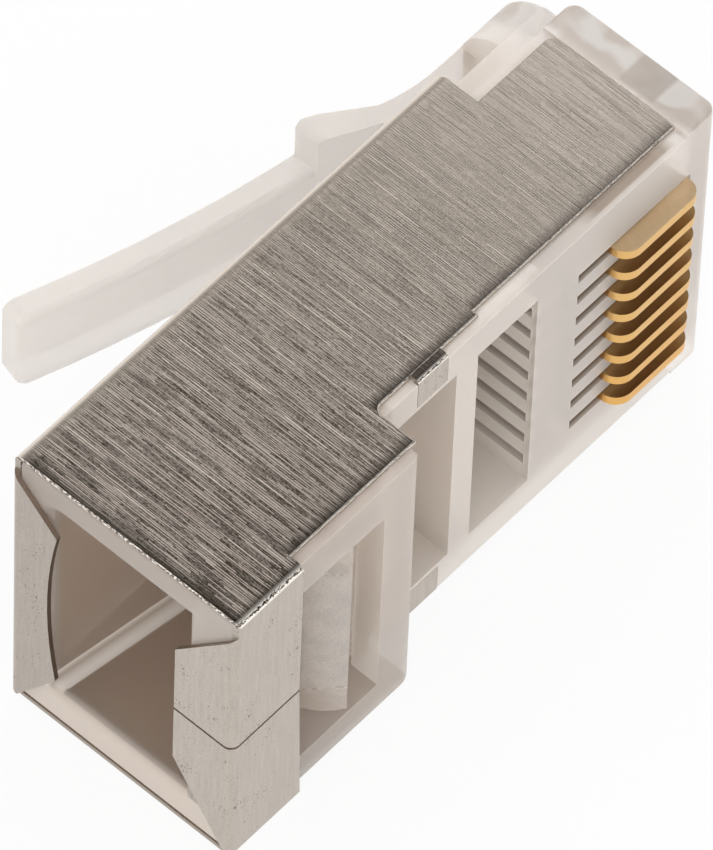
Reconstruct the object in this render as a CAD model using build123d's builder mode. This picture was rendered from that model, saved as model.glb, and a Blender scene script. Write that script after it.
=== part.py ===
"""Shielded eight-way modular plug, lying on one narrow side.

X runs along the plug from the cable end to the nose, Y from the contact side to the
latch side and Z across the width. The origin is the middle of the side that it lies on.
"""
import os
from math import cos, radians, sin

from build123d import *

os.makedirs("parts", exist_ok=True)

# Overall sizes
plug_length = 21.2  # housing, cable end to nose
plug_width = 11.68  # over the two broad plates of the shield
body_height = 8.1  # rear body over the shield, flaps to latch wall
nose_height = 6.4  # latch wall to the face that holds the contacts

# Shield
sheet = 0.15  # thickness of the folded sheet
sheet_gap = 0.02  # shield to housing
latch_bend = 0.4  # outside radius of the two long folds
flap_bend = 0.25  # outside radius of the folds that the flaps hang from
flap_bend_low = 0.3  # the same on the side that the plug lies on, a looser fold
flap_slant = 0.17  # the lower flap is this much longer at its fold
cut_roll = 0.07  # rounding that the shears left along the cut edges of the plates
flap_length = 2.54  # rear flaps that close over the contact side
seam = 0.08  # slit where the two flaps meet
seam_offset = 0.25  # slit below the middle of the width
rear_plate_drop = 0.5  # edge of the broad plates behind the step, below the flaps
front_plate_drop = 0.29  # the same edge in front of the step, below the front face
nose_plate_drop = 0.47  # the same edge beside the contacts
nose_plate_length = 8.2  # the length of that last edge
notch_length = 3.0  # latch wall stops this far behind the front of the plates
notch_edge = 1.46  # plates are this far in from the latch wall beside the notch
notch_radius = 0.3
tab_length = 1.2  # small tabs folded over the front face
tab_reach = 1.1
tab_behind_rib = 0.4  # tab to the rib behind the front window
end_bend = 0.3  # outside radius where walls turn in over the cable end
latch_lip = 1.38  # lip that turns in from the latch wall, at its middle
latch_lip_tip = 1.7  # the same lip at its two ends
latch_lip_span = 7.0  # lip's inner edge, tip to tip
contact_lip = 2.1  # lip that turns in from the flaps
contact_lip_span = 5.3  # its free edge
lip_root_inset = 0.65  # both lips start this far from the broad faces
contact_lip_low_inset = 0.05  # the same at the lower end of the contact side's lip
latch_lip_low_inset = 0.2  # the latch wall's lip starts here at its lower end
latch_lip_low_drop = 0.3  # and slants from this far below the latch wall

# Housing
side_wall = 1.25  # walls behind the broad plates
step_from_rear = 7.55  # length of the deep rear body
step_wall = 1.55  # wall between the rear window and the step
mouth_front = 1.7  # wall of the mouth on the contact side
mouth_back = 1.1  # wall of the mouth on the latch side
mouth_corner = 0.45  # rounded corners between its latch side and its two other walls
mouth_edge = 0.35  # rounding round its open end
window_end_wall = 0.28  # walls of the rear window stand in from the side walls
floor_wall = 1.87  # latch-side wall where the wires lie
floor_ramp = 5.2  # length over which the floor rises to that wall
bay_height = 1.87  # flat space for the wires in front of the cable
bay_start = 1.25  # where that space starts, in front of the step
window_from_nose = 9.74  # rear end of the front window
window_length = 2.44
rib_width = 0.86  # rib behind the front window
pocket_wall = 0.55  # step face to the middle window
nose_lip = 1.25  # bare nose in front of the shield
nose_corner = 0.4  # its long corners
nose_edge = 0.1
shoulder_drop = 1.14  # latch-side corners of the nose are cut this deep
platform_width = 9.4  # raised part of the nose that carries the latch
platform_length = 4.2
root_height = 1.24  # latch root above the latch wall
root_radius = 1.9
edge_radius = 0.25
step_radius = 0.5
low_edge_radius = 0.45  # rear body's long edge on the side that the plug lies on

# Wires and contacts
ways = 8
pitch = 1.02
channel_diameter = 0.94
lead_in_length = 1.1  # tall slots that lead the wires in
lead_in_width = 0.42
lead_in_depth = 0.2  # skin left over those slots at the front face
blade = 0.35  # thickness of a contact
blade_gap = 0.025  # contact to each side of its slot
blade_length = 3.12
blade_from_nose = 1.18
blade_proud = 0.6  # crest above the front face before crimping
blade_rear_radius = 0.58  # round ends of the crest
blade_front_radius = 0.45
blade_body = 2.6  # crest to the root of the tines
tine_length = 1.3
tine_width = 0.8
slot_front_gap = 0.15  # contact to the front end of its slot
slot_rear_gap = 1.32  # and to the rear end

# Latch, measured from its pivot
latch_wide = 6.3
latch_thick = 0.9  # wide part, at its root
pivot_from_nose = 1.85
knuckle_gap = 0.03
ramp_foot = 2.95  # foot of the ramp that leads to the lock shoulders
ramp_foot_rise = 0.36
ramp_top = 4.3
latch_shoulder = 4.95
shoulder_height = 2.05
finger_width = 3.25
finger_reach = 13.95
finger_rise = 4.62
finger_thick = 0.85
finger_slope = 15  # degrees, at its tip
finger_sag = 0.22  # finger's middle below a straight line
latch_edge = 0.22
finger_corner = 0.4  # corners of the finger's tip
finger_edge = 0.25  # long edges that face the body

# Strain relief flap
bar_width = 0.85  # frosted bar, along the plug
bar_depth = 1.5
bar_recess = 0.04  # bar below the rear face
bar_round = 0.95  # depth of the round side that faces the cable end
bar_round_middle = 0.33  # depth of that side at the middle of the bar
bar_end_gap = 0.14  # bar to each end of its window
web_length = 1.2  # bar to the hinge
web_thick = 0.5
web_recess = 0.98
web_end_gap = 0.4

# Places that follow from the sizes
rear = -plug_length / 2
nose = plug_length / 2
middle = plug_width / 2
latch_face = body_height / 2
flap_face = -body_height / 2
skin = sheet + sheet_gap
back_face = latch_face - skin
rear_face = flap_face + skin
front_face = latch_face - nose_height
shoulder = latch_face - shoulder_drop
step = rear + step_from_rear
lip_start = nose - nose_lip
platform_start = nose - platform_length
window_rear = nose - window_from_nose
window_front = window_rear + window_length
bay_floor = latch_face - floor_wall - skin
bay_top = bay_floor - bay_height
mouth_top = rear_face + mouth_front
mouth_floor = back_face - mouth_back
inner_low = skin + side_wall
inner_high = plug_width - inner_low
window_low = inner_low + window_end_wall
window_high = inner_high - window_end_wall
flap_end = rear + flap_length
channel_y = bay_floor - channel_diameter / 2
blade_front = nose - blade_from_nose
blade_rear = blade_front - blade_length
crest = front_face - blade_proud
first_way = middle + pitch * (ways - 1) / 2
pivot_x = nose - pivot_from_nose
pivot_y = latch_face + root_height - latch_thick / 2
rear_window_end = step - step_wall
hinge_y = rear_face + web_recess + web_thick / 2
tab_end = window_rear - rib_width - tab_behind_rib


def along(edge, axis, **place):
    """True for an edge along axis whose middle has the given coordinates."""
    direction = edge.tangent_at(0.5)
    if abs(abs(getattr(direction, axis)) - 1) > 1e-4:
        return False
    centre = edge.center()
    return all(abs(getattr(centre, name) - value) < 1e-3 for name, value in place.items())


def block(low, high, mode=Mode.ADD):
    """Box between two corners, given as (x, y, z)."""
    with BuildSketch(Plane.XY.offset(low[2])) as base:
        with Locations(((low[0] + high[0]) / 2, (low[1] + high[1]) / 2)):
            Rectangle(high[0] - low[0], high[1] - low[1])
    extrude(base.sketch, amount=high[2] - low[2], mode=mode)


def side_view(points, low, high, mode=Mode.ADD):
    """Closed outline in X and Y, pulled from one height to another."""
    with BuildSketch(Plane.XY.offset(low)) as profile:
        with BuildLine():
            Polyline(*points, close=True)
        make_face()
    extrude(profile.sketch, amount=high - low, mode=mode)


# Raised part of the nose that carries the latch
with BuildPart() as platform:
    block(
        (platform_start, shoulder - nose_corner, middle - platform_width / 2),
        (nose, back_face, middle + platform_width / 2),
    )
    with BuildSketch(Plane.YZ.offset(pivot_x)) as root:
        with BuildLine():
            Polyline(
                (shoulder, middle - platform_width / 2),
                (latch_face + root_height, middle - platform_width / 2),
                (latch_face + root_height, middle + platform_width / 2),
                (shoulder, middle + platform_width / 2),
                close=True,
            )
        make_face()
        fillet(root.vertices().group_by(Axis.X)[-1], root_radius)
    extrude(amount=nose - pivot_x)
    rounded = [
        edge
        for edge in platform.edges()
        if abs(edge.center().X - nose) < 1e-3 and edge.center().Y > shoulder - nose_corner + 1e-3
    ]
    fillet(rounded, edge_radius)

# Space for the cable, its rising floor and the flat bay for the wires
with BuildPart() as cable_space:
    side_view(
        [
            (rear, mouth_top),
            (rear, mouth_floor),
            (rear + floor_ramp, bay_floor),
            (window_front, bay_floor),
            (window_front, bay_top),
            (step + bay_start, bay_top),
            (rear_window_end, mouth_top),
        ],
        inner_low,
        inner_high,
    )
    rounded = [
        edge
        for edge in cable_space.edges()
        if abs(edge.tangent_at(0.5).Z) < 1e-3
        and edge.center().Y > bay_floor - 1e-3
        and edge.center().X > rear + 1e-3
    ]
    fillet(rounded, mouth_corner)

# Housing: one clear moulding
with BuildPart() as housing:
    side_view(
        [
            (rear, rear_face),
            (step, rear_face),
            (step, front_face),
            (nose, front_face),
            (nose, shoulder),
            (platform_start, shoulder),
            (platform_start, back_face),
            (rear, back_face),
        ],
        skin,
        plug_width - skin,
    )
    with BuildSketch(Plane.YZ.offset(rear - sheet)) as rear_section:
        with Locations((rear_face + body_height / 2, skin + plug_width / 2)):
            Rectangle(body_height, plug_width)
        fillet(rear_section.vertices().sort_by_distance((rear_face, skin))[0], low_edge_radius)
    extrude(amount=plug_length + 2 * sheet, mode=Mode.INTERSECT)
    rounded = [
        edge
        for edge in housing.edges()
        if along(edge, "Y", X=step) and edge.center().Y < front_face
    ]
    fillet(rounded, step_radius)
    rounded = [edge for edge in housing.edges() if along(edge, "X", Y=back_face)]
    fillet(rounded, latch_bend - sheet)
    rounded = [edge for edge in housing.edges() if along(edge, "Z", X=rear)]
    fillet(rounded, end_bend - sheet)
    block((lip_start, front_face, 0), (nose, shoulder, plug_width))
    fillet([edge for edge in housing.edges() if along(edge, "Z", X=nose)], nose_corner)
    rounded = [
        edge
        for edge in housing.edges()
        if edge.center().X > lip_start + 1e-3
        and min(abs(edge.center().Z), abs(edge.center().Z - plug_width)) < 1e-3
    ]
    fillet(rounded, nose_edge)
    add(platform.part)
    add(cable_space.part, mode=Mode.SUBTRACT)
    rounded = [
        edge
        for edge in housing.edges()
        if abs(edge.center().X - rear) < 1e-3
        and inner_low - 1e-3 < edge.center().Z < inner_high + 1e-3
        and mouth_top - 1e-3 < edge.center().Y < mouth_floor + 1e-3
    ]
    fillet(rounded, mouth_edge)
    # Windows on the contact side
    block(
        (flap_end, rear_face, window_low),
        (rear_window_end, mouth_top, window_high),
        Mode.SUBTRACT,
    )
    block(
        (step + pocket_wall, front_face, inner_low),
        (window_rear - rib_width, bay_top, inner_high),
        Mode.SUBTRACT,
    )
    block((window_rear, front_face, inner_low), (window_front, bay_top, inner_high), Mode.SUBTRACT)
    # Wire channels, their tall lead-ins and the contact slots
    for way in range(ways):
        height = first_way - way * pitch
        with BuildSketch(Plane.YZ.offset(window_front)):
            with Locations((channel_y, height)):
                Circle(channel_diameter / 2)
        extrude(amount=blade_front - window_front, mode=Mode.SUBTRACT)
        block(
            (window_front, front_face + lead_in_depth, height - lead_in_width / 2),
            (window_front + lead_in_length, channel_y, height + lead_in_width / 2),
            Mode.SUBTRACT,
        )
        block(
            (blade_rear - slot_rear_gap, front_face, height - blade / 2 - blade_gap),
            (blade_front + slot_front_gap, bay_floor, height + blade / 2 + blade_gap),
            Mode.SUBTRACT,
        )
    # Socket at the root of the latch
    with BuildSketch(Plane.XY.offset(middle - latch_wide / 2 - knuckle_gap)):
        with Locations((pivot_x, pivot_y)):
            Circle(latch_thick / 2 + knuckle_gap)
    extrude(amount=latch_wide + 2 * knuckle_gap, mode=Mode.SUBTRACT)
    # Socket at the root of the strain relief flap
    with BuildSketch(Plane.XY.offset(window_low)):
        with Locations((rear_window_end, hinge_y)):
            Circle(web_thick / 2 + knuckle_gap)
    extrude(amount=window_high - window_low, mode=Mode.SUBTRACT)
    # Shallow seats for the two folded tabs
    for seat_low, seat_high in (
        (skin, skin + tab_reach),
        (plug_width - skin - tab_reach, plug_width - skin),
    ):
        block(
            (tab_end - tab_length - sheet_gap, front_face, seat_low),
            (tab_end + sheet_gap, front_face + skin, seat_high),
            Mode.SUBTRACT,
        )

housing.part.label = "housing"
export_step(housing.part, "parts/housing.step")

# Latch: wide root, lock shoulders and finger
outer_root = pivot_y + latch_thick / 2
inner_root = pivot_y - latch_thick / 2
ramp_low = (pivot_x - ramp_foot, outer_root + ramp_foot_rise)
ramp_high = (pivot_x - ramp_top, pivot_y + shoulder_height - latch_edge)
shoulder_x = pivot_x - latch_shoulder
shoulder_top = pivot_y + shoulder_height
shoulder_base = shoulder_top - finger_thick
tip_x = pivot_x - finger_reach
tip_top = pivot_y + finger_rise
base_x = tip_x - finger_thick * sin(radians(finger_slope))
base_y = tip_top - finger_thick * cos(radians(finger_slope))
finger_middle = (shoulder_x + tip_x) / 2
with BuildPart() as latch_tab:
    with BuildSketch(Plane.XY.offset(middle - latch_wide / 2)):
        with BuildLine():
            Line((pivot_x, outer_root), (pivot_x - latch_thick, outer_root))
            TangentArc((pivot_x - latch_thick, outer_root), ramp_low, tangent=(-1, 0))
            Line(ramp_low, ramp_high)
            Polyline(
                ramp_high,
                (shoulder_x + latch_edge, shoulder_top),
                (shoulder_x, shoulder_top),
                (shoulder_x, shoulder_base),
                (pivot_x - ramp_foot, inner_root + ramp_foot_rise + latch_edge),
                (pivot_x - latch_thick, inner_root),
                (pivot_x, inner_root),
            )
            ThreePointArc(
                (pivot_x, inner_root), (pivot_x + latch_thick / 2, pivot_y), (pivot_x, outer_root)
            )
        make_face()
    extrude(amount=latch_wide)
    fillet([edge for edge in latch_tab.edges() if along(edge, "Y", X=shoulder_x)], latch_edge)
    with BuildSketch(Plane.XY.offset(middle - finger_width / 2)):
        with BuildLine():
            ThreePointArc(
                (shoulder_x + latch_edge, shoulder_top),
                (finger_middle, (shoulder_top + tip_top) / 2 - finger_sag),
                (tip_x, tip_top),
            )
            Line((tip_x, tip_top), (base_x, base_y))
            ThreePointArc(
                (base_x, base_y),
                (finger_middle, (shoulder_base + base_y) / 2 - finger_sag),
                (shoulder_x + latch_edge, shoulder_base),
            )
            Line(
                (shoulder_x + latch_edge, shoulder_base), (shoulder_x + latch_edge, shoulder_top)
            )
        make_face()
    extrude(amount=finger_width)
    rounded = [
        edge
        for edge in latch_tab.edges()
        if abs(edge.center().X - (tip_x + base_x) / 2) < 1e-3 and abs(edge.tangent_at(0.5).Z) < 1e-3
    ]
    fillet(rounded, finger_corner)
    rounded = [
        edge
        for edge in latch_tab.edges()
        if edge.center().X < shoulder_x - 1
        and edge.center().Y < (shoulder_base + base_y) / 2 + 0.2
        and abs(abs(edge.center().Z - middle) - finger_width / 2) < 1e-3
    ]
    fillet(rounded, finger_edge)

latch_tab.part.label = "latch_tab"
export_step(latch_tab.part, "parts/latch_tab.step")

# Strain relief flap: frosted bar on a clear web
bar_front = rear_window_end - web_length
bar_rear = bar_front - bar_width
bar_outer = rear_face + bar_recess
with BuildPart() as strain_relief_bar:
    with BuildSketch(Plane.XY.offset(window_low + bar_end_gap)):
        with BuildLine():
            ThreePointArc(
                (bar_front, bar_outer),
                ((bar_front + bar_rear) / 2, bar_outer + bar_round_middle),
                (bar_rear, bar_outer + bar_round),
            )
            Polyline(
                (bar_rear, bar_outer + bar_round),
                (bar_rear, bar_outer + bar_depth),
                (bar_front, bar_outer + bar_depth),
                (bar_front, bar_outer),
            )
        make_face()
    extrude(amount=window_high - window_low - 2 * bar_end_gap)
    block(
        (bar_front, rear_face + web_recess, window_low + web_end_gap),
        (rear_window_end, rear_face + web_recess + web_thick, window_high - web_end_gap),
    )
    with BuildSketch(Plane.XY.offset(window_low + web_end_gap)):
        with Locations((rear_window_end, hinge_y)):
            Circle(web_thick / 2)
    extrude(amount=window_high - window_low - 2 * web_end_gap)

strain_relief_bar.part.label = "strain_relief_bar"
export_step(strain_relief_bar.part, "parts/strain_relief_bar.step")

# Contacts: blades that stand proud until they are crimped
for way in range(ways):
    height = first_way - way * pitch
    root_y = crest + blade_body
    rear_tine = blade_rear + blade_length / 4
    front_tine = blade_front - blade_length / 4
    with BuildPart() as contact:
        with BuildSketch(Plane.XY.offset(height - blade / 2)):
            with BuildLine():
                Polyline(
                    (blade_rear, crest),
                    (blade_front, crest),
                    (blade_front, root_y),
                    (front_tine + tine_width / 2, root_y),
                    (front_tine, root_y + tine_length),
                    (front_tine - tine_width / 2, root_y),
                    (rear_tine + tine_width / 2, root_y),
                    (rear_tine, root_y + tine_length),
                    (rear_tine - tine_width / 2, root_y),
                    (blade_rear, root_y),
                    close=True,
                )
            make_face()
        extrude(amount=blade)
        edges = contact.edges()
        fillet([edge for edge in edges if along(edge, "Z", X=blade_rear, Y=crest)], blade_rear_radius)
        edges = contact.edges()
        fillet([edge for edge in edges if along(edge, "Z", X=blade_front, Y=crest)], blade_front_radius)
    contact.part.label = f"contact_{way + 1}"
    export_step(contact.part, f"parts/contact_{way + 1}.step")

# Shield: one sheet folded round the housing
plate_edge_rear = flap_face + rear_plate_drop
plate_edge_front = front_face + front_plate_drop
plate_edge_nose = front_face + nose_plate_drop
plate_front = lip_start - sheet_gap
wall_end = plate_front - notch_length
lip_face = rear - skin
seam_height = middle - seam_offset
with BuildPart() as shield_hollow:
    with BuildSketch(Plane.YZ.offset(lip_face + sheet)) as hollow:
        with Locations((0, middle)):
            Rectangle(body_height - 2 * sheet, plug_width - 2 * sheet)
        fillet(hollow.vertices().group_by(Axis.X)[-1], latch_bend - sheet)
        fillet(hollow.vertices().sort_by_distance((flap_face, 0))[0], flap_bend_low - sheet)
    extrude(amount=plug_length)
    with BuildSketch() as hollow_plan:
        with Locations((lip_face + sheet + plug_length / 2, 0)):
            Rectangle(plug_length, body_height - 2 * sheet)
        fillet(hollow_plan.vertices().group_by(Axis.X)[0], end_bend - sheet)
    extrude(amount=plug_width, mode=Mode.INTERSECT)
with BuildPart() as shield:
    with BuildSketch(Plane.YZ.offset(lip_face)) as section:
        with Locations((0, middle)):
            Rectangle(body_height, plug_width)
        fillet(section.vertices().group_by(Axis.X)[-1], latch_bend)
        fillet(section.vertices().sort_by_distance((flap_face, plug_width))[0], flap_bend)
        fillet(section.vertices().sort_by_distance((flap_face, 0))[0], flap_bend_low)
    extrude(amount=plate_front - lip_face)
    with BuildSketch() as plan:
        with Locations((lip_face + plug_length / 2, 0)):
            Rectangle(plug_length, body_height)
        fillet(plan.vertices().group_by(Axis.X)[0], end_bend)
    extrude(amount=plug_width, mode=Mode.INTERSECT)
    add(shield_hollow.part, mode=Mode.SUBTRACT)
    # Open end, with a lip left on the latch side and one on the contact side
    with BuildSketch(Plane.YZ.offset(lip_face - sheet)):
        with Locations((0, middle)):
            Rectangle(body_height + 2 * sheet, plug_width + 2 * sheet)
        with BuildLine():
            Polyline(
                (latch_face - latch_lip_tip, middle - latch_lip_span / 2),
                (latch_face - latch_lip_low_drop, latch_lip_low_inset),
                (latch_face, latch_lip_low_inset),
                (latch_face, plug_width - lip_root_inset),
                (latch_face - latch_lip_tip, middle + latch_lip_span / 2),
            )
            ThreePointArc(
                (latch_face - latch_lip_tip, middle + latch_lip_span / 2),
                (latch_face - latch_lip, middle),
                (latch_face - latch_lip_tip, middle - latch_lip_span / 2),
            )
        make_face(mode=Mode.SUBTRACT)
        with BuildLine():
            Polyline(
                (flap_face, contact_lip_low_inset),
                (flap_face + contact_lip, middle - contact_lip_span / 2),
                (flap_face + contact_lip, middle + contact_lip_span / 2),
                (flap_face, plug_width - lip_root_inset),
                close=True,
            )
        make_face(mode=Mode.SUBTRACT)
    extrude(amount=skin + sheet, mode=Mode.SUBTRACT)
    # Edges of the broad plates on the contact side
    side_view(
        [
            (flap_end + flap_slant, flap_face - sheet),
            (flap_end + flap_slant, plate_edge_rear),
            (step, plate_edge_rear),
            (step, plate_edge_front),
            (plate_front - nose_plate_length, plate_edge_front),
            (plate_front - nose_plate_length, plate_edge_nose),
            (nose, plate_edge_nose),
            (nose, flap_face - sheet),
        ],
        -sheet,
        plug_width + sheet,
        Mode.SUBTRACT,
    )
    # Free edges of the flaps
    with BuildSketch(Plane.XZ.offset(sheet - flap_face)):
        with BuildLine():
            Polyline(
                (flap_end, plug_width + sheet),
                (flap_end, seam_height),
                (flap_end + flap_slant, flap_bend_low),
                (flap_end + flap_slant, -sheet),
                (step, -sheet),
                (step, plug_width + sheet),
                close=True,
            )
        make_face()
    extrude(amount=-sheet - rear_plate_drop, mode=Mode.SUBTRACT)
    # Notch beside the latch root
    block(
        (wall_end, latch_face - notch_edge, -sheet),
        (nose, latch_face + sheet, plug_width + sheet),
        Mode.SUBTRACT,
    )
    rounded = [
        edge
        for edge in shield.edges().filter_by(Axis.Z)
        if (
            abs(edge.center().X - plate_front) < 1e-3
            and abs(edge.center().Y - latch_face + notch_edge) < 1e-3
        )
        or (
            abs(edge.center().X - step) < 1e-3
            and abs(edge.center().Y - plate_edge_front) < 1e-3
        )
    ]
    fillet(rounded, notch_radius)
    rounded = [
        edge
        for edge in shield.edges()
        if min(abs(edge.center().Z), abs(edge.center().Z - plug_width)) < 1e-3
        and edge.center().X > flap_end + flap_slant + 1e-3
        and abs(edge.tangent_at(0.5).Z) < 1e-3
        and edge.center().Y < latch_face - latch_bend - 1e-3
    ]
    fillet(rounded, cut_roll)
    # Slit where the two flaps and the two halves of their lip meet
    block(
        (lip_face - sheet, flap_face - sheet, seam_height - seam / 2),
        (flap_end + sheet, flap_face + contact_lip + sheet, seam_height + seam / 2),
        Mode.SUBTRACT,
    )
    # Tabs folded over the front face
    for low, high, outside in (
        (0, sheet + tab_reach, 0),
        (plug_width - sheet - tab_reach, plug_width, plug_width),
    ):
        inside = abs(outside - sheet)
        block((tab_end - tab_length, front_face, low), (tab_end, front_face + sheet, high))
        block(
            (tab_end - tab_length, front_face, min(outside, inside)),
            (tab_end, plate_edge_front, max(outside, inside)),
        )
        folds = [
            edge
            for edge in shield.edges().filter_by(Axis.X)
            if abs(edge.center().Y - front_face) < 1e-3
            and abs(edge.center().Z - outside) < 1e-3
        ]
        fillet(folds, sheet)

shield.part.label = "shield"
export_step(shield.part, "parts/shield.step")
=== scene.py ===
"""Shielded modular plug on a pale floor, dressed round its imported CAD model."""
import math
from functools import cached_property

import bmesh
import bpy
from bpy.props import FloatProperty, FloatVectorProperty, PointerProperty
from bpy.types import Operator, Panel, PropertyGroup
from mathutils import Matrix, Vector


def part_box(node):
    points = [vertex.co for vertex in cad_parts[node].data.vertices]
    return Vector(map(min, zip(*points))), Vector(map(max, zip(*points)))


bl_info = {
    "name": "Shielded Modular Plug",
    "version": (1, 0, 0),
    "blender": (4, 5, 0),
    "location": "View3D > Sidebar > Plug",
    "description": "Dresses the shield, the clear mouldings and the contacts of a modular plug",
    "category": "Add Mesh",
}

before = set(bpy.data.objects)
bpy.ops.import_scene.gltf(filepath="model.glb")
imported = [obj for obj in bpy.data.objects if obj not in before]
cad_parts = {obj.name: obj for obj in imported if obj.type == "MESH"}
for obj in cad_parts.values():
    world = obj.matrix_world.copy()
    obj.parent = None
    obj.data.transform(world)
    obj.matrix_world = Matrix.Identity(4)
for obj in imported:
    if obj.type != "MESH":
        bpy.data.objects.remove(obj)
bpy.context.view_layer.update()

MM = 0.001
CONTACTS = [f"contact_{way}" for way in range(1, 9)]
CABLE_END = -10.6 * MM

# Stage, in millimetres; the floor's radius is in metres
CAMERA_TARGET = (-0.8768, 0.3358, 6.0)
CAMERA_LENS = 618.9
CAMERA_SHIFT = (-0.00067, 0.00073)
LAMP_TARGET = (0, 0, 6)
KEY_LAMP_PLACE, KEY_LAMP_SIZE = (35.4, 25.2, 61.7), 30
FILL_LAMP_PLACE, FILL_LAMP_SIZE = (-90, -60, 60), 80
FLOOR_RADIUS = 4.0
FLOOR_GLOW = 0.9
DOME_HORIZON, DOME_TOP = (1.0, 1.0, 1.0), (0.11, 0.108, 0.105)
DOME_LIGHT = (0.97, 0.965, 0.96)

# Shield: the broad plates' edge on the contact side, with its steps as (X, rise in Y)
PLATE_EDGE_Y = -4.05 * MM
PLATE_EDGE_STEPS = [(-8.06 * MM, 0.5 * MM), (-3.05 * MM, 1.49 * MM), (1.13 * MM, 0.18 * MM)]
SEAM_Z = 5.59 * MM
DARK_EDGE_REFLECTION = (0.035, 0.026, 0.02)
FOLD_BORDER_SHEEN = (0.56, 0.48, 0.41)
PIT = (0.22, 0.17, 0.13)
LIP_SHADE = (0.1, 0.08, 0.07)
SLIT = (0.05, 0.035, 0.025)
PAINTED_FOLD_SHADE = (0.05, 0.04, 0.03)
PAINTED_GLINT = (1.0, 0.94, 0.86)
LATCH_FOLD_HIGHLIGHT = (0.74, 0.65, 0.56)
DARK_RIM_SPOTS, PLAIN_RIM = (0.2, 0.16, 0.13), (0.4, 0.35, 0.3)
LIP_EDGE = (0.24, 0.19, 0.15)
MOUTH_SHADE = (0.56, 0.52, 0.5)

# Housing: each pair is where a look starts and where it is complete
FRONT_BODY_X = (-3.6 * MM, -2.6 * MM)
BARE_NOSE_X = (8.6 * MM, 9.6 * MM)
NOSE_PATCH_X = (9.4 * MM, 9.5 * MM)
NOSE_PATCH_Y, NOSE_PATCH_REACH = -0.33 * MM, (0.55 * MM, 0.68 * MM)
MOUTH_WALL_X = (CABLE_END + 0.2 * MM, CABLE_END + 0.5 * MM)
MOUTH_CORNER_X, MOUTH_CORNER_Z = -5.4 * MM, 2.02 * MM
RECESS_Y = (-2.3 * MM, -2.1 * MM)
SLOT_START_X, SLOT_END_X = (3.5 * MM, 3.6 * MM), (9.3 * MM, 9.4 * MM)
SLOT_DEPTH_Y, SLOT_FLOOR_Y = (-2.34 * MM, -2.2 * MM), 0.5 * MM
SLOT_ROW_Z, SLOT_ROW_REACH = 5.84 * MM, (4.6 * MM, 4.7 * MM)
SHADOW_START_X, SHADOW_END_X = (5.2 * MM, 5.9 * MM), (8.6 * MM, 9.0 * MM)
SHADOW_Y, SHADOW_REACH = -2.05 * MM, (0.12 * MM, 0.2 * MM)
SILL_X, SILL_Z = CABLE_END + 0.3 * MM, (1.35 * MM, 1.45 * MM)
LEDGE_Z = (0.9 * MM, 1.9 * MM)
WINDOW_X, WINDOW_REACH = 2.1 * MM, 1.3 * MM
MILKY_BODY = (1.0, 0.92, 0.845)
NOSE_PAINTED_SHADE, NOSE_PAINTED_LIGHT, NOSE_PAINTED_PATCH = (0.74, 0.65, 0.58), (1.0, 0.96, 0.92), (0.5, 0.42, 0.36)
MOUTH_WALL_SHADE = (0.86, 0.71, 0.58)
SLOT_SHADE = (0.3, 0.21, 0.14)
CORNER_PAINTED_SHADE, CORNER_PAINTED_LIGHT = (0.55, 0.47, 0.4), (0.95, 0.89, 0.83)
LIT_SILL, LIT_FRONT = (0.7, 0.61, 0.53), (1.0, 0.95, 0.89)
POLYCARBONATE_IOR = 1.45

# Strain relief bar and contacts
BAR_FRONT = -5.8 * MM
BAR_LOW_Z, BAR_HIGH_Z = (3.4 * MM, 3.9 * MM), (9.2 * MM, 9.7 * MM)
HIDDEN_SIDE_Z, HIDDEN_SIDE = (9.2 * MM, 9.3 * MM), (0.5, 0.32, 0.15)
LOW_CONTACTS_Z, LOW_GOLD = (2 * MM, 6 * MM), (0.8, 0.43, 0.11)


class ShieldSettings(PropertyGroup):
    """Folded sheet with brushed broad faces and satin flaps."""

    brushed_light: FloatVectorProperty(
        name="Brushed light",
        description="Colour of the bright brush lines",
        subtype="COLOR",
        size=3,
        default=(0.64, 0.565, 0.495),
    )
    brushed_dark: FloatVectorProperty(
        name="Brushed dark",
        description="Colour of the dark brush lines",
        subtype="COLOR",
        size=3,
        default=(0.08, 0.065, 0.05),
    )
    satin: FloatVectorProperty(
        name="Satin",
        description="Colour of the folded flaps and lips",
        subtype="COLOR",
        size=3,
        default=(0.52, 0.465, 0.41),
    )
    inside: FloatVectorProperty(
        name="Inside",
        description="Colour of the faces that lie on the moulding",
        subtype="COLOR",
        size=3,
        default=(0.72, 0.6, 0.5),
    )
    line_width: FloatProperty(
        name="Line width",
        description="Space from one brush line to the next",
        subtype="DISTANCE",
        default=0.07 * MM,
        precision=6,
    )
    line_length: FloatProperty(
        name="Line length",
        description="Typical length of one brush line",
        subtype="DISTANCE",
        default=1.5 * MM,
        precision=6,
    )
    roughness: FloatProperty(
        name="Roughness",
        description="Roughness of the brushed faces",
        subtype="FACTOR",
        default=0.4,
        min=0.0,
        max=1.0,
    )


class PlasticSettings(PropertyGroup):
    """Clear moulding, latch and frosted bar."""

    body: FloatVectorProperty(
        name="Clear body",
        description="Tint of the clear moulding",
        subtype="COLOR",
        size=3,
        default=(0.99, 0.905, 0.83),
    )
    clearness: FloatProperty(
        name="Clearness",
        description="Share of the light that goes through the moulding",
        subtype="FACTOR",
        default=0.6,
        min=0.0,
        max=1.0,
    )
    frost: FloatVectorProperty(
        name="Frosted bar",
        description="Colour of the frosted strain relief bar",
        subtype="COLOR",
        size=3,
        default=(0.66, 0.61, 0.56),
    )


class ContactSettings(PropertyGroup):
    """Gold-plated edges on stamped blades."""

    gold: FloatVectorProperty(
        name="Gold",
        description="Colour of the plated edges",
        subtype="COLOR",
        size=3,
        default=(0.78, 0.48, 0.17),
    )
    stamped: FloatVectorProperty(
        name="Stamped side",
        description="Colour of the flat sides",
        subtype="COLOR",
        size=3,
        default=(0.9, 0.69, 0.44),
    )


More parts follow.
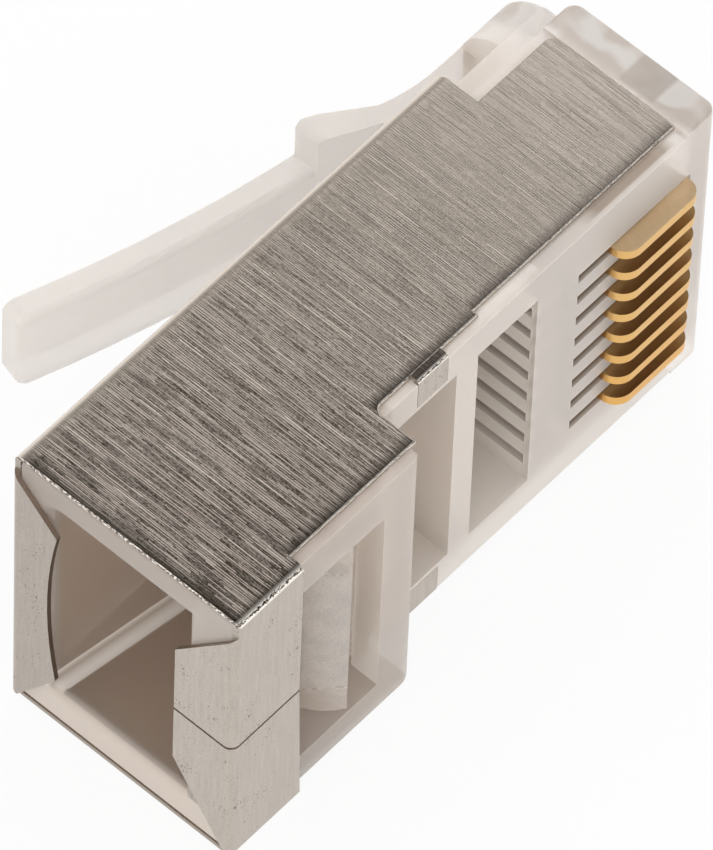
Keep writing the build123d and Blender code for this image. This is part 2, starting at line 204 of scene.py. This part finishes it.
class StageSettings(PropertyGroup):
    """Camera, floor and lamps."""

    azimuth: FloatProperty(
        name="Azimuth",
        description="Camera's angle round the plug",
        subtype="ANGLE",
        default=math.radians(-50.1116),
    )
    elevation: FloatProperty(
        name="Elevation",
        description="Camera's angle above the floor",
        subtype="ANGLE",
        default=math.radians(56.4763),
    )
    roll: FloatProperty(
        name="Roll",
        description="Camera's turn about its own line of sight",
        subtype="ANGLE",
        default=math.radians(2.4566),
    )
    distance: FloatProperty(
        name="Distance",
        description="Camera to the middle of the plug",
        subtype="DISTANCE",
        default=396.7171 * MM,
        precision=6,
    )
    floor: FloatVectorProperty(
        name="Floor",
        description="Colour of the floor",
        subtype="COLOR",
        size=3,
        default=(0.9, 0.9, 0.9),
    )
    key: FloatProperty(
        name="Key lamp",
        description="Power of the small lamp behind the plug",
        subtype="POWER",
        default=0.0052,
        precision=4,
    )
    fill: FloatProperty(
        name="Fill lamp",
        description="Power of the larger lamp at the cable end",
        subtype="POWER",
        default=0.024,
        precision=4,
    )


def scaled(colour, share):
    """Colour times a number, held at white."""
    return tuple(min(1.0, share * channel) for channel in colour)


def dress(names, material):
    """Gives CAD nodes a material."""
    for name in names:
        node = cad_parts[name]
        node.data.materials.clear()
        node.data.materials.append(material)


class Shading:
    """Builds shader nodes in one node tree."""

    def __init__(self, tree):
        self.tree = tree

    def node(self, kind, **values):
        """New node with plain values on its inputs and attributes."""
        made = self.tree.nodes.new(kind)
        for name, value in values.items():
            if hasattr(made, name):
                setattr(made, name, value)
            else:
                made.inputs[name.replace("_", " ")].default_value = value
        return made

    def link(self, output, socket):
        """Joins two sockets."""
        self.tree.links.new(output, socket)

    def math(self, operation, *values):
        """Math node on sockets or numbers."""
        made = self.node("ShaderNodeMath", operation=operation)
        for socket, value in zip(made.inputs, values):
            if isinstance(value, (int, float)):
                socket.default_value = value
            else:
                self.link(value, socket)
        return made.outputs["Value"]

    def product(self, total, *others):
        """Product of sockets or numbers."""
        for other in others:
            total = self.math("MULTIPLY", total, other)
        return total

    def highest(self, total, *others):
        """Highest of sockets or numbers."""
        for other in others:
            total = self.math("MAXIMUM", total, other)
        return total

    def distance(self, value, centre):
        """How far a number is from centre, on either side."""
        return self.math("ABSOLUTE", self.math("SUBTRACT", value, centre))

    def remap(self, value, low, high, to_low=0.0, to_high=1.0):
        """Map Range with its ends held."""
        made = self.node("ShaderNodeMapRange", clamp=True)
        names = ("From Min", "From Max", "To Min", "To Max")
        for name, number in zip(names, (low, high, to_low, to_high)):
            made.inputs[name].default_value = number
        self.link(value, made.inputs["Value"])
        return made.outputs["Result"]

    def fade(self, value, start, end, strength=1.0):
        """Strength up to start, and nothing from end on."""
        return self.remap(value, start, end, strength, 0.0)

    def blend(self, factor, first, second):
        """Number that goes from first to second as the factor goes from 0 to 1."""
        return self.remap(factor, 0.0, 1.0, first, second)

    def mix(self, factor, first, second):
        """Colour mix of two colours or sockets."""
        made = self.node("ShaderNodeMix", data_type="RGBA")
        self.link(factor, made.inputs["Factor"])
        for name, value in (("A", first), ("B", second)):
            socket = next(s for s in made.inputs if s.name == name and s.type == "RGBA")
            if isinstance(value, bpy.types.NodeSocket):
                self.link(value, socket)
            else:
                socket.default_value = (*value, 1.0)
        return next(s for s in made.outputs if s.type == "RGBA")

    def layered(self, colour, *layers):
        """Colour with each (mask, tint) laid over it in turn."""
        for mask, tint in layers:
            colour = self.mix(mask, colour, tint)
        return colour

    def axes(self, vector):
        """The three parts of a vector."""
        parts = self.node("ShaderNodeSeparateXYZ")
        self.link(vector, parts.inputs["Vector"])
        return parts.outputs


class Look(Shading):
    """Material in the making; its common inputs are made when they are first used."""

    def __init__(self, name):
        self.material = bpy.data.materials.new(name)
        self.material.use_nodes = True
        super().__init__(self.material.node_tree)
        self.shader = self.tree.nodes["Principled BSDF"]

    @cached_property
    def coordinates(self):
        """Where a point is on its piece, as a vector."""
        return self.node("ShaderNodeTexCoord").outputs["Object"]

    @cached_property
    def place(self):
        """Where a point is on its piece, in three parts."""
        return self.axes(self.coordinates)

    @cached_property
    def normal(self):
        """Which way a point faces, in three parts."""
        return self.axes(self.node("ShaderNodeNewGeometry").outputs["Normal"])

    def grains(self, period, detail):
        """Noise whose grains measure period (x, y, z) in millimetres."""
        mapping = self.node("ShaderNodeMapping", vector_type="POINT")
        mapping.inputs["Scale"].default_value = [1 / (length * MM) for length in period]
        self.link(self.coordinates, mapping.inputs["Vector"])
        noise = self.node("ShaderNodeTexNoise", Scale=1.0, Detail=detail, Roughness=0.6)
        self.link(mapping.outputs["Vector"], noise.inputs["Vector"])
        return noise.outputs["Fac"]

    def set_shader(self, **values):
        """Sockets or numbers on the shader's inputs."""
        for name, value in values.items():
            socket = self.shader.inputs[name.replace("_", " ")]
            if isinstance(value, bpy.types.NodeSocket):
                self.link(value, socket)
            else:
                socket.default_value = value

    def set_bump(self, height, depth, strength):
        """Bump of a given depth in metres."""
        bump = self.node("ShaderNodeBump", Strength=strength, Distance=depth)
        self.link(height, bump.inputs["Height"])
        self.link(bump.outputs["Normal"], self.shader.inputs["Normal"])


class NickelLook(Look):
    """Shield: brush lines along Y on the broad faces, satin with small pits elsewhere."""

    def __init__(self, settings):
        super().__init__("brushed_nickel")
        self.settings = settings
        low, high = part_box("shield")
        self.low, self.high = low, high
        self.half = (high.z - low.z) / 2
        self.from_middle = self.distance(self.place["Z"], self.half)
        self.upright = self.math("ABSOLUTE", self.normal["Z"])
        self.facing = self.math("ABSOLUTE", self.normal["X"])
        self.grain = self.grains((0.05, 0.05, 0.09), 3.0)
        lines = self.brush_lines()
        broad = self.product(
            self.remap(self.upright, 0.9, 0.99),
            self.remap(self.from_middle, self.half - 0.1 * MM, self.half - 0.05 * MM),
        )
        fold = self.fold()
        inner = self.inner_face()
        colour = self.layered(
            self.satin_tint(),
            (broad, self.brushed_tint(lines)),
            (fold, self.painted_fold_highlight()),
            (self.cut_rim(), self.painted_rim_glints()),
            (self.lip_edge(), LIP_EDGE),
            (inner, self.inner_tint()),
        )
        self.set_shader(
            Base_Color=colour,
            Metallic=self.blend(inner, 1.0, 0.55),
            Roughness=self.blend(fold, settings.roughness, 0.2),
        )
        height = self.node("ShaderNodeMix", data_type="FLOAT")
        self.link(broad, height.inputs["Factor"])
        self.link(self.grain, height.inputs["A"])
        self.link(lines, height.inputs["B"])
        self.set_bump(height.outputs["Result"], 0.02 * MM, 0.35)

    def strokes(self, width, length):
        """Random number for each brush stroke; the strokes lie along Y."""
        row = self.math("FLOOR", self.math("DIVIDE", self.place["X"], width))
        shift = self.node("ShaderNodeTexWhiteNoise", noise_dimensions="1D")
        self.link(row, shift.inputs["W"])
        along = self.math("DIVIDE", self.place["Y"], length)
        along = self.math("MULTIPLY_ADD", shift.outputs["Value"], 9.7, along)
        cell = self.node("ShaderNodeCombineXYZ")
        self.link(row, cell.inputs["X"])
        self.link(self.math("FLOOR", along), cell.inputs["Y"])
        stroke = self.node("ShaderNodeTexWhiteNoise", noise_dimensions="2D")
        self.link(cell.outputs["Vector"], stroke.inputs["Vector"])
        return stroke.outputs["Value"]

    def fine_lines(self, pitch, length):
        """Thin lines along Y, one in each pitch, from 0 to 1 in strength."""
        across = self.math("FRACT", self.math("DIVIDE", self.place["X"], pitch))
        line = self.fade(self.distance(across, 0.5), 0.06, 0.32)
        strength = self.math("POWER", self.strokes(pitch, length), 3.0)
        return self.product(line, strength)

    def brush_lines(self):
        """Thin light lines on a dark, finely mottled ground; about 0.5 on average."""
        width, length = self.settings.line_width, self.settings.line_length
        total = 0.12
        for pattern, across, along, strength in (
            (self.strokes, 0.4, 0.04, 0.28),
            (self.strokes, 0.6, 0.7, 0.25),
            (self.fine_lines, 0.8, 0.6, 0.9),
            (self.fine_lines, 1.0, 1.0, 1.8),
        ):
            layer = pattern(across * width, along * length)
            total = self.math("MULTIPLY_ADD", layer, strength, total)
        return total

    def dark_edge_reflection_band(self):
        """1 in a band beside the broad plates' cut edges, where a dark reflection is painted.
        """
        edge = PLATE_EDGE_Y
        for place, rise in PLATE_EDGE_STEPS:
            beyond = self.math("GREATER_THAN", self.place["X"], place)
            edge = self.math("MULTIPLY_ADD", beyond, rise, edge)
        from_edge = self.math("SUBTRACT", self.place["Y"], edge)
        contact_side = self.fade(from_edge, 0.06 * MM, 0.4 * MM)
        cable_end = self.fade(self.place["X"], CABLE_END + 0.05 * MM, CABLE_END + 0.3 * MM)
        return self.highest(contact_side, cable_end)

    def brushed_tint(self, lines):
        """Brush lines, strong at the cable end and soft towards the nose, on a painted
        reflection that grows lighter towards the nose, with painted shade near the contact side
        at the cable end.
        """
        contrast = self.remap(self.place["X"], -4 * MM, 5 * MM, 1.5, 0.5)
        # Painted shade near the contact side at the cable end
        shadow = self.product(
            self.fade(self.place["Y"], self.low.y, 3 * MM, 0.2),
            self.fade(self.place["X"], -9 * MM, -1 * MM),
        )
        # Painted reflection: the broad faces grow lighter towards the nose
        middle = self.remap(self.place["X"], 1 * MM, self.high.x, 0.46, 0.68)
        middle = self.math("SUBTRACT", middle, shadow)
        streak = self.math("SUBTRACT", lines, 0.5)
        streak = self.math("MULTIPLY_ADD", streak, contrast, middle)
        brushed = self.mix(
            self.remap(streak, 0.0, 1.0),
            self.settings.brushed_dark,
            self.settings.brushed_light,
        )
        strength = self.remap(self.place["X"], -2 * MM, 6 * MM, 0.85, 0.5)
        # The border along the long fold on the latch side is smooth and unbrushed, with a
        # painted highlight that grows towards the fold
        border = self.remap(self.place["Y"], 3.45 * MM, 3.85 * MM, 0.0, 0.8)
        return self.layered(
            brushed,
            # Painted dark reflection in a band beside the cut edges
            (self.product(self.dark_edge_reflection_band(), strength), DARK_EDGE_REFLECTION),
            (border, FOLD_BORDER_SHEEN),
        )

    def satin_tint(self):
        """Finely mottled flaps and lips with small pits and the seam's dark slit."""
        drawn = self.grains((0.12, 0.12, 1.4), 2.0)
        mottled = self.math("MULTIPLY_ADD", drawn, 0.4, self.product(self.grain, 0.6))
        satin = self.mix(
            self.remap(mottled, 0.36, 0.64),
            scaled(self.settings.satin, 0.9),
            scaled(self.settings.satin, 1.09),
        )
        specks = self.grains((0.07, 0.07, 0.11), 1.0)
        where = self.grains((0.9, 0.9, 0.9), 1.0)
        pits = self.math("MULTIPLY_ADD", where, 0.35, self.product(specks, 0.65))
        lip = self.product(
            self.fade(self.normal["X"], -0.95, -0.85),
            self.remap(self.place["Y"], 0.5 * MM, 1.0 * MM, 0.0, 0.16),
        )
        from_seam = self.distance(self.place["Z"], SEAM_Z)
        from_seam = self.math("MULTIPLY_ADD", specks, 0.05 * MM, from_seam)
        slit = self.product(
            self.fade(from_seam, 0.065 * MM, 0.085 * MM),
            self.math("LESS_THAN", self.place["Y"], 0.0),
        )
        return self.layered(
            satin,
            (self.remap(pits, 0.645, 0.68), PIT),
            (lip, LIP_SHADE),
            (slit, SLIT),
        )

    def fold(self):
        """1 on the round of the folds beside the broad faces."""
        return self.product(
            self.remap(self.upright, 0.1, 0.3),
            self.fade(self.upright, 0.8, 0.97),
            self.remap(self.from_middle, self.half - 0.4 * MM, self.half - 0.3 * MM),
        )

    def painted_fold_highlight(self):
        """Painted highlight on the round of the fold: bright lines with a painted dark line
        between them on the contact side, a smooth painted highlight on the latch side.
        """
        # Noise that breaks up the painted glints
        glint_breakup = self.grains((0.09, 0.05, 0.05), 2.0)
        bent = self.math("MULTIPLY_ADD", glint_breakup, 0.8, self.math("SUBTRACT", self.upright, 0.4))
        glints = self.mix(self.remap(self.distance(bent, 0.6), 0.05, 0.12), PAINTED_FOLD_SHADE, PAINTED_GLINT)
        latch_side = self.math("GREATER_THAN", self.normal["Y"], 0.0)
        return self.mix(latch_side, glints, LATCH_FOLD_HIGHLIGHT)

    def cut_rim(self):
        """1 on the broad plates' cut edges at the cable end."""
        return self.product(
            self.remap(self.facing, 0.5, 0.7),
            self.remap(self.from_middle, self.half - 0.2 * MM, self.half - 0.18 * MM),
            self.math("COMPARE", self.place["X"], CABLE_END, 0.03 * MM),
        )

    def painted_rim_glints(self):
        """Painted glints in spots on a dark ground on the upper plate's cut edge, plain on the
        lower one.
        """
        spots = self.remap(self.grains((0.1, 0.1, 0.1), 2.0), 0.48, 0.56)
        upper = self.math("GREATER_THAN", self.place["Z"], self.half)
        return self.mix(upper, PLAIN_RIM, self.mix(spots, DARK_RIM_SPOTS, PAINTED_GLINT))

    def lip_edge(self):
        """1 on the cut edges of the lips over the cable end."""
        return self.product(
            self.fade(self.facing, 0.3, 0.5),
            self.math("LESS_THAN", self.place["X"], CABLE_END - 0.01 * MM),
        )

    def inner_face(self):
        """1 on the broad plates' faces that lie on the moulding."""
        return self.product(
            self.remap(self.upright, 0.5, 0.9),
            self.fade(self.from_middle, self.half - 0.16 * MM, self.half - 0.14 * MM),
        )

    def inner_tint(self):
        """The inner faces are darker inside the cable mouth."""
        in_mouth = self.fade(self.place["X"], -6 * MM, -4 * MM)
        inside = self.settings.inside
        shaded = tuple(share * channel for share, channel in zip(MOUTH_SHADE, inside))
        return self.mix(in_mouth, inside, shaded)


class PlasticLook(Look):
    """Clear moulded plastic with a milky body, clearer in the bare nose."""

    def __init__(self, name, settings, alpha):
        super().__init__(name)
        cloud = self.remap(self.grains((3, 3, 3), 3.0), 0.35, 0.65)
        self.colour = self.mix(cloud, scaled(settings.body, 0.95), settings.body)
        self.nose = self.remap(self.place["X"], *BARE_NOSE_X)
        self.see_through = self.blend(self.nose, settings.clearness, 0.62)
        self.solid = self.blend(self.nose, alpha, 0.82)
        # Opaque sharp edges: painted highlights along the edges
        self.edge = self.product(self.sharp_edges(0.07 * MM), 0.7)

    def sharp_edges(self, width):
        """1 along sharp edges, over a given width."""
        rounded = self.node("ShaderNodeBevel", samples=6, Radius=width)
        turn = self.node("ShaderNodeVectorMath", operation="DOT_PRODUCT")
        self.link(rounded.outputs["Normal"], turn.inputs[0])
        self.link(self.node("ShaderNodeNewGeometry").outputs["Normal"], turn.inputs[1])
        return self.fade(turn.outputs["Value"], 0.86, 0.98)

    def finished(self, roughness=0.28):
        """The material; its sharp edges let less light through and show white, as painted
        highlights.
        """
        ripple = self.grains((0.6, 0.6, 0.6), 2.0)
        self.set_shader(
            Base_Color=self.colour,
            Transmission_Weight=self.product(self.see_through, self.blend(self.edge, 1.0, 0.2)),
            Alpha=self.highest(self.solid, self.edge),
            IOR=POLYCARBONATE_IOR,
            Roughness=self.remap(ripple, 0.3, 0.7, roughness, 1.2 * roughness),
        )
        self.set_bump(ripple, 0.02 * MM, 0.25)
        return self.material


class HousingLook(PlasticLook):
    """Housing: milkiest in the front body, with painted shade in the slots and under the
    plate's edge, and painted light from the floor on its edges.
    """

    def __init__(self, settings):
        super().__init__("clear_housing", settings, 0.72)
        self.front = self.remap(self.place["X"], *FRONT_BODY_X)
        # Painted shade in the slots and under the plate's edge
        slots = self.highest(self.slot_walls(), self.plate_shadow())
        corner = self.mouth_corner()
        lit = self.floor_light()
        self.colour = self.layered(
            self.colour,
            (self.front, MILKY_BODY),
            # Painted light and shade on the nose's upward faces
            (self.product(self.nose, self.remap(self.normal["Z"], 0.3, 0.7)), self.painted_nose_light()),
            (self.mouth_walls(), MOUTH_WALL_SHADE),
            (slots, SLOT_SHADE),
            (corner, self.painted_corner_light()),
            (lit, self.mix(self.front, LIT_SILL, LIT_FRONT)),
        )
        # The painted light and shade also let less light through, like the painted edge
        # highlights
        self.edge = self.highest(self.edge, lit, corner, slots)
        self.solid = self.highest(self.solid, self.product(self.front, 0.84))
        see_through = self.product(self.see_through, self.blend(self.front, 1.0, 0.62))
        self.see_through = self.highest(see_through, self.product(self.nose, 0.62))

    def painted_nose_light(self):
        """Painted light and shade in cloudy blotches, and a painted dark patch on the nose's
        top near its end.
        """
        blobs = self.remap(self.grains((1.1, 1.6, 1.6), 1.5), 0.44, 0.54)
        painted_patch = self.product(
            self.fade(self.distance(self.place["Y"], NOSE_PATCH_Y), *NOSE_PATCH_REACH, 0.75),
            self.remap(self.normal["Z"], 0.3, 0.6),
            self.remap(self.place["X"], *NOSE_PATCH_X),
        )
        return self.mix(painted_patch, self.mix(blobs, NOSE_PAINTED_SHADE, NOSE_PAINTED_LIGHT), NOSE_PAINTED_PATCH)

    def mouth_walls(self):
        """1 on the walls of the cable mouth, which get a warm painted shade."""
        return self.product(
            self.remap(self.place["X"], *MOUTH_WALL_X),
            self.blend(self.front, 1.0, 0.0),
            self.remap(self.place["Y"], *RECESS_Y),
        )

    def slot_walls(self):
        """1 on the walls of the contact slots, below their mouths, where shade is painted."""
        return self.product(
            self.remap(self.place["X"], *SLOT_START_X),
            self.fade(self.place["X"], *SLOT_END_X),
            self.fade(self.distance(self.place["Z"], SLOT_ROW_Z), *SLOT_ROW_REACH),
            self.remap(self.place["Y"], *SLOT_DEPTH_Y),
            self.math("LESS_THAN", self.place["Y"], SLOT_FLOOR_Y),
        )

    def plate_shadow(self):
        """Shadow under the plate's edge beside the contacts."""
        return self.product(
            self.fade(self.distance(self.place["Y"], SHADOW_Y), *SHADOW_REACH, 0.8),
            self.remap(self.normal["Z"], 0.3, 0.6),
            self.remap(self.place["X"], *SHADOW_START_X),
            self.fade(self.place["X"], *SHADOW_END_X),
        )

    def mouth_corner(self):
        """1 on the rounded corner inside the mouth, where light and shade are painted."""
        return self.product(
            self.remap(self.normal["Z"], 0.02, 0.08),
            self.fade(self.normal["Y"], -0.12, -0.03),
            self.math("LESS_THAN", self.place["X"], MOUTH_CORNER_X),
            self.math("LESS_THAN", self.place["Z"], MOUTH_CORNER_Z),
        )

    def painted_corner_light(self):
        """Painted shade along the middle of the rounding and painted light at its sides."""
        rib = self.remap(self.distance(self.normal["Z"], 0.5), 0.04, 0.42)
        return self.mix(rib, CORNER_PAINTED_SHADE, CORNER_PAINTED_LIGHT)

    def floor_light(self):
        """Light from the floor on the mouth's lower edge, the front body and its window."""
        sill = self.product(
            self.fade(self.place["Z"], *SILL_Z),
            self.math("LESS_THAN", self.place["X"], SILL_X),
        )
        ledge = self.product(self.fade(self.place["Z"], *LEDGE_Z, 0.6), self.front)
        window = self.product(
            self.math("COMPARE", self.place["X"], WINDOW_X, WINDOW_REACH),
            self.remap(self.place["Y"], *RECESS_Y, 0.0, 0.5),
        )
        return self.highest(sill, ledge, window)


class FrostedLook(Look):
    """Grainy face on the middle of the strain relief bar, clear plastic elsewhere."""

    def __init__(self, settings):
        super().__init__("frosted_plastic")
        grain = self.grains((0.07, 0.07, 0.07), 4.0)
        patch = self.grains((0.8, 0.8, 0.8), 2.0)
        mottled = self.math("MULTIPLY_ADD", grain, 0.6, self.product(patch, 0.4))
        frost = self.mix(
            self.remap(mottled, 0.4, 0.62), settings.frost, scaled(settings.frost, 1.25)
        )
        ragged = self.math("MULTIPLY_ADD", patch, 1.6 * MM, self.place["Z"])
        frosted = self.product(
            self.fade(ragged, *BAR_HIGH_Z),
            self.remap(ragged, *BAR_LOW_Z),
            self.fade(self.place["X"], BAR_FRONT, BAR_FRONT + 0.02 * MM),
        )
        self.set_shader(
            Base_Color=self.mix(frosted, settings.body, frost),
            Transmission_Weight=self.blend(frosted, 0.6, 0.45),
            Alpha=self.blend(frosted, 0.62, 1.0),
            Roughness=self.blend(frosted, 0.08, 0.55),
            IOR=POLYCARBONATE_IOR,
        )
        self.set_bump(grain, 0.03 * MM, 0.4)


class GoldLook(Look):
    """Gold on the edges of a blade and a duller stamped side."""

    def __init__(self, settings):
        super().__init__("gold_plating")
        marks = self.grains((0.2, 0.2, 0.2), 3.0)
        # The sides that face the next blade are in shadow, and the low edges more orange
        stamped = self.layered(
            self.mix(marks, scaled(settings.stamped, 0.8), settings.stamped),
            (self.fade(self.place["Z"], *HIDDEN_SIDE_Z), HIDDEN_SIDE),
        )
        low = self.fade(self.place["Z"], *LOW_CONTACTS_Z, 0.7)
        side = self.remap(self.math("ABSOLUTE", self.normal["Z"]), 0.6, 0.9)
        self.set_shader(
            Base_Color=self.mix(side, self.mix(low, settings.gold, LOW_GOLD), stamped),
            Metallic=1.0,
            Roughness=self.remap(marks, 0.3, 0.7, 0.28, 0.4),
        )
        self.set_bump(marks, 0.01 * MM, 0.3)


class PLUG_OT_stage(Operator):
    """Camera, floor, lamps and world"""

    bl_idname = "plug.stage"
    bl_label = "Stage"

    def execute(self, context):
        settings = context.scene.plug_stage
        scene = context.scene
        scene.view_settings.view_transform = "Standard"
        self.add_camera(scene, settings)
        self.add_floor(scene, settings)
        self.add_world(scene)
        self.add_lamp(scene, "key_lamp", KEY_LAMP_PLACE, KEY_LAMP_SIZE, settings.key)
        self.add_lamp(scene, "fill_lamp", FILL_LAMP_PLACE, FILL_LAMP_SIZE, settings.fill)
        return {"FINISHED"}

    def add_camera(self, scene, settings):
        around, above, roll = settings.azimuth, settings.elevation, settings.roll
        back = Vector(
            (
                math.sin(around) * math.cos(above),
                -math.cos(around) * math.cos(above),
                math.sin(above),
            )
        )
        right = Vector((math.cos(around), math.sin(around), 0))
        up = back.cross(right)
        turned_right = math.cos(roll) * right + math.sin(roll) * up
        turned_up = -math.sin(roll) * right + math.cos(roll) * up
        place = Vector(CAMERA_TARGET) * MM + back * settings.distance
        data = bpy.data.cameras.new("camera")
        data.lens = CAMERA_LENS
        data.sensor_width = 36.0
        data.shift_x, data.shift_y = CAMERA_SHIFT
        data.clip_start = 0.01
        data.clip_end = 20.0
        camera = bpy.data.objects.new("camera", data)
        camera.matrix_world = Matrix(
            [
                (turned_right[i], turned_up[i], back[i], place[i])
                for i in range(3)
            ]
            + [(0, 0, 0, 1)]
        )
        scene.collection.objects.link(camera)
        scene.camera = camera

    def add_floor(self, scene, settings):
        mesh = bpy.data.meshes.new("floor")
        shape = bmesh.new()
        bmesh.ops.create_circle(shape, cap_ends=True, segments=96, radius=FLOOR_RADIUS)
        shape.to_mesh(mesh)
        shape.free()
        floor = bpy.data.objects.new("floor", mesh)
        scene.collection.objects.link(floor)
        look = Look("floor")
        look.set_shader(
            Base_Color=(*settings.floor, 1.0), Roughness=0.9, Specular_IOR_Level=0.0
        )
        # Where it is seen, directly or in the plug, the floor also glows white
        glow = look.node("ShaderNodeEmission", Strength=1.0)
        path = look.node("ShaderNodeLightPath").outputs
        seen = look.highest(
            path["Is Camera Ray"], path["Is Glossy Ray"], path["Is Transmission Ray"]
        )
        mixed = look.node("ShaderNodeMixShader")
        look.link(look.product(seen, FLOOR_GLOW), mixed.inputs["Fac"])
        look.link(look.shader.outputs["BSDF"], mixed.inputs[1])
        look.link(glow.outputs["Emission"], mixed.inputs[2])
        output = look.tree.nodes["Material Output"]
        look.link(mixed.outputs["Shader"], output.inputs["Surface"])
        mesh.materials.append(look.material)

    def add_world(self, scene):
        world = bpy.data.worlds.new("studio")
        world.use_nodes = True
        shading = Shading(world.node_tree)
        direction = shading.node("ShaderNodeTexCoord").outputs["Generated"]
        height = shading.remap(shading.axes(direction)["Z"], 0.0, 0.9)
        dome = shading.mix(height, DOME_HORIZON, DOME_TOP)
        glossy = shading.node("ShaderNodeLightPath").outputs["Is Glossy Ray"]
        background = world.node_tree.nodes["Background"]
        shading.link(shading.mix(glossy, DOME_LIGHT, dome), background.inputs["Color"])
        background.inputs["Strength"].default_value = 1.0
        scene.world = world

    def add_lamp(self, scene, name, place, size, power):
        data = bpy.data.lights.new(name, "AREA")
        data.shape = "DISK"
        data.size = size * MM
        data.energy = power
        lamp = bpy.data.objects.new(name, data)
        lamp.location = Vector(place) * MM
        aim = Vector(LAMP_TARGET) * MM - lamp.location
        lamp.rotation_euler = aim.to_track_quat("-Z", "Y").to_euler()
        scene.collection.objects.link(lamp)


class PLUG_OT_shield(Operator):
    """Brushed and satin nickel on the folded shield"""

    bl_idname = "plug.shield"
    bl_label = "Shield"

    def execute(self, context):
        dress(["shield"], NickelLook(context.scene.plug_shield).material)
        return {"FINISHED"}


class PLUG_OT_mouldings(Operator):
    """Clear housing and latch, and the frosted strain relief bar"""

    bl_idname = "plug.mouldings"
    bl_label = "Clear mouldings"

    def execute(self, context):
        settings = context.scene.plug_plastic
        dress(["housing"], HousingLook(settings).finished())
        dress(["latch_tab"], PlasticLook("clear_latch", settings, 0.58).finished())
        dress(["strain_relief_bar"], FrostedLook(settings).material)
        return {"FINISHED"}


class PLUG_OT_contacts(Operator):
    """Gold-plated contacts"""

    bl_idname = "plug.contacts"
    bl_label = "Contacts"

    def execute(self, context):
        dress(CONTACTS, GoldLook(context.scene.plug_contacts).material)
        return {"FINISHED"}


class PLUG_PT_panel(Panel):
    """Lists the steps that dress the plug, and their settings"""

    bl_label = "Modular plug"
    bl_idname = "PLUG_PT_panel"
    bl_space_type = "VIEW_3D"
    bl_region_type = "UI"
    bl_category = "Plug"

    def draw(self, context):
        for operator in OPERATORS:
            self.layout.operator(operator.bl_idname)
        for name in SETTINGS:
            group = getattr(context.scene, name)
            box = self.layout.box()
            for entry in group.bl_rna.properties:
                if entry.identifier not in {"rna_type", "name"}:
                    box.prop(group, entry.identifier)


OPERATORS = (PLUG_OT_stage, PLUG_OT_shield, PLUG_OT_mouldings, PLUG_OT_contacts)
SETTINGS = {
    "plug_shield": ShieldSettings,
    "plug_plastic": PlasticSettings,
    "plug_contacts": ContactSettings,
    "plug_stage": StageSettings,
}


def register():
    for group in SETTINGS.values():
        bpy.utils.register_class(group)
    for operator in OPERATORS:
        bpy.utils.register_class(operator)
    bpy.utils.register_class(PLUG_PT_panel)
    for name, group in SETTINGS.items():
        setattr(bpy.types.Scene, name, PointerProperty(type=group))


def unregister():
    for name in SETTINGS:
        delattr(bpy.types.Scene, name)
    bpy.utils.unregister_class(PLUG_PT_panel)
    for operator in reversed(OPERATORS):
        bpy.utils.unregister_class(operator)
    for group in reversed(SETTINGS.values()):
        bpy.utils.unregister_class(group)


def main():
    register()
    bpy.ops.plug.stage()
    bpy.ops.plug.shield()
    bpy.ops.plug.mouldings()
    bpy.ops.plug.contacts()


if __name__ == "__main__":
    main()
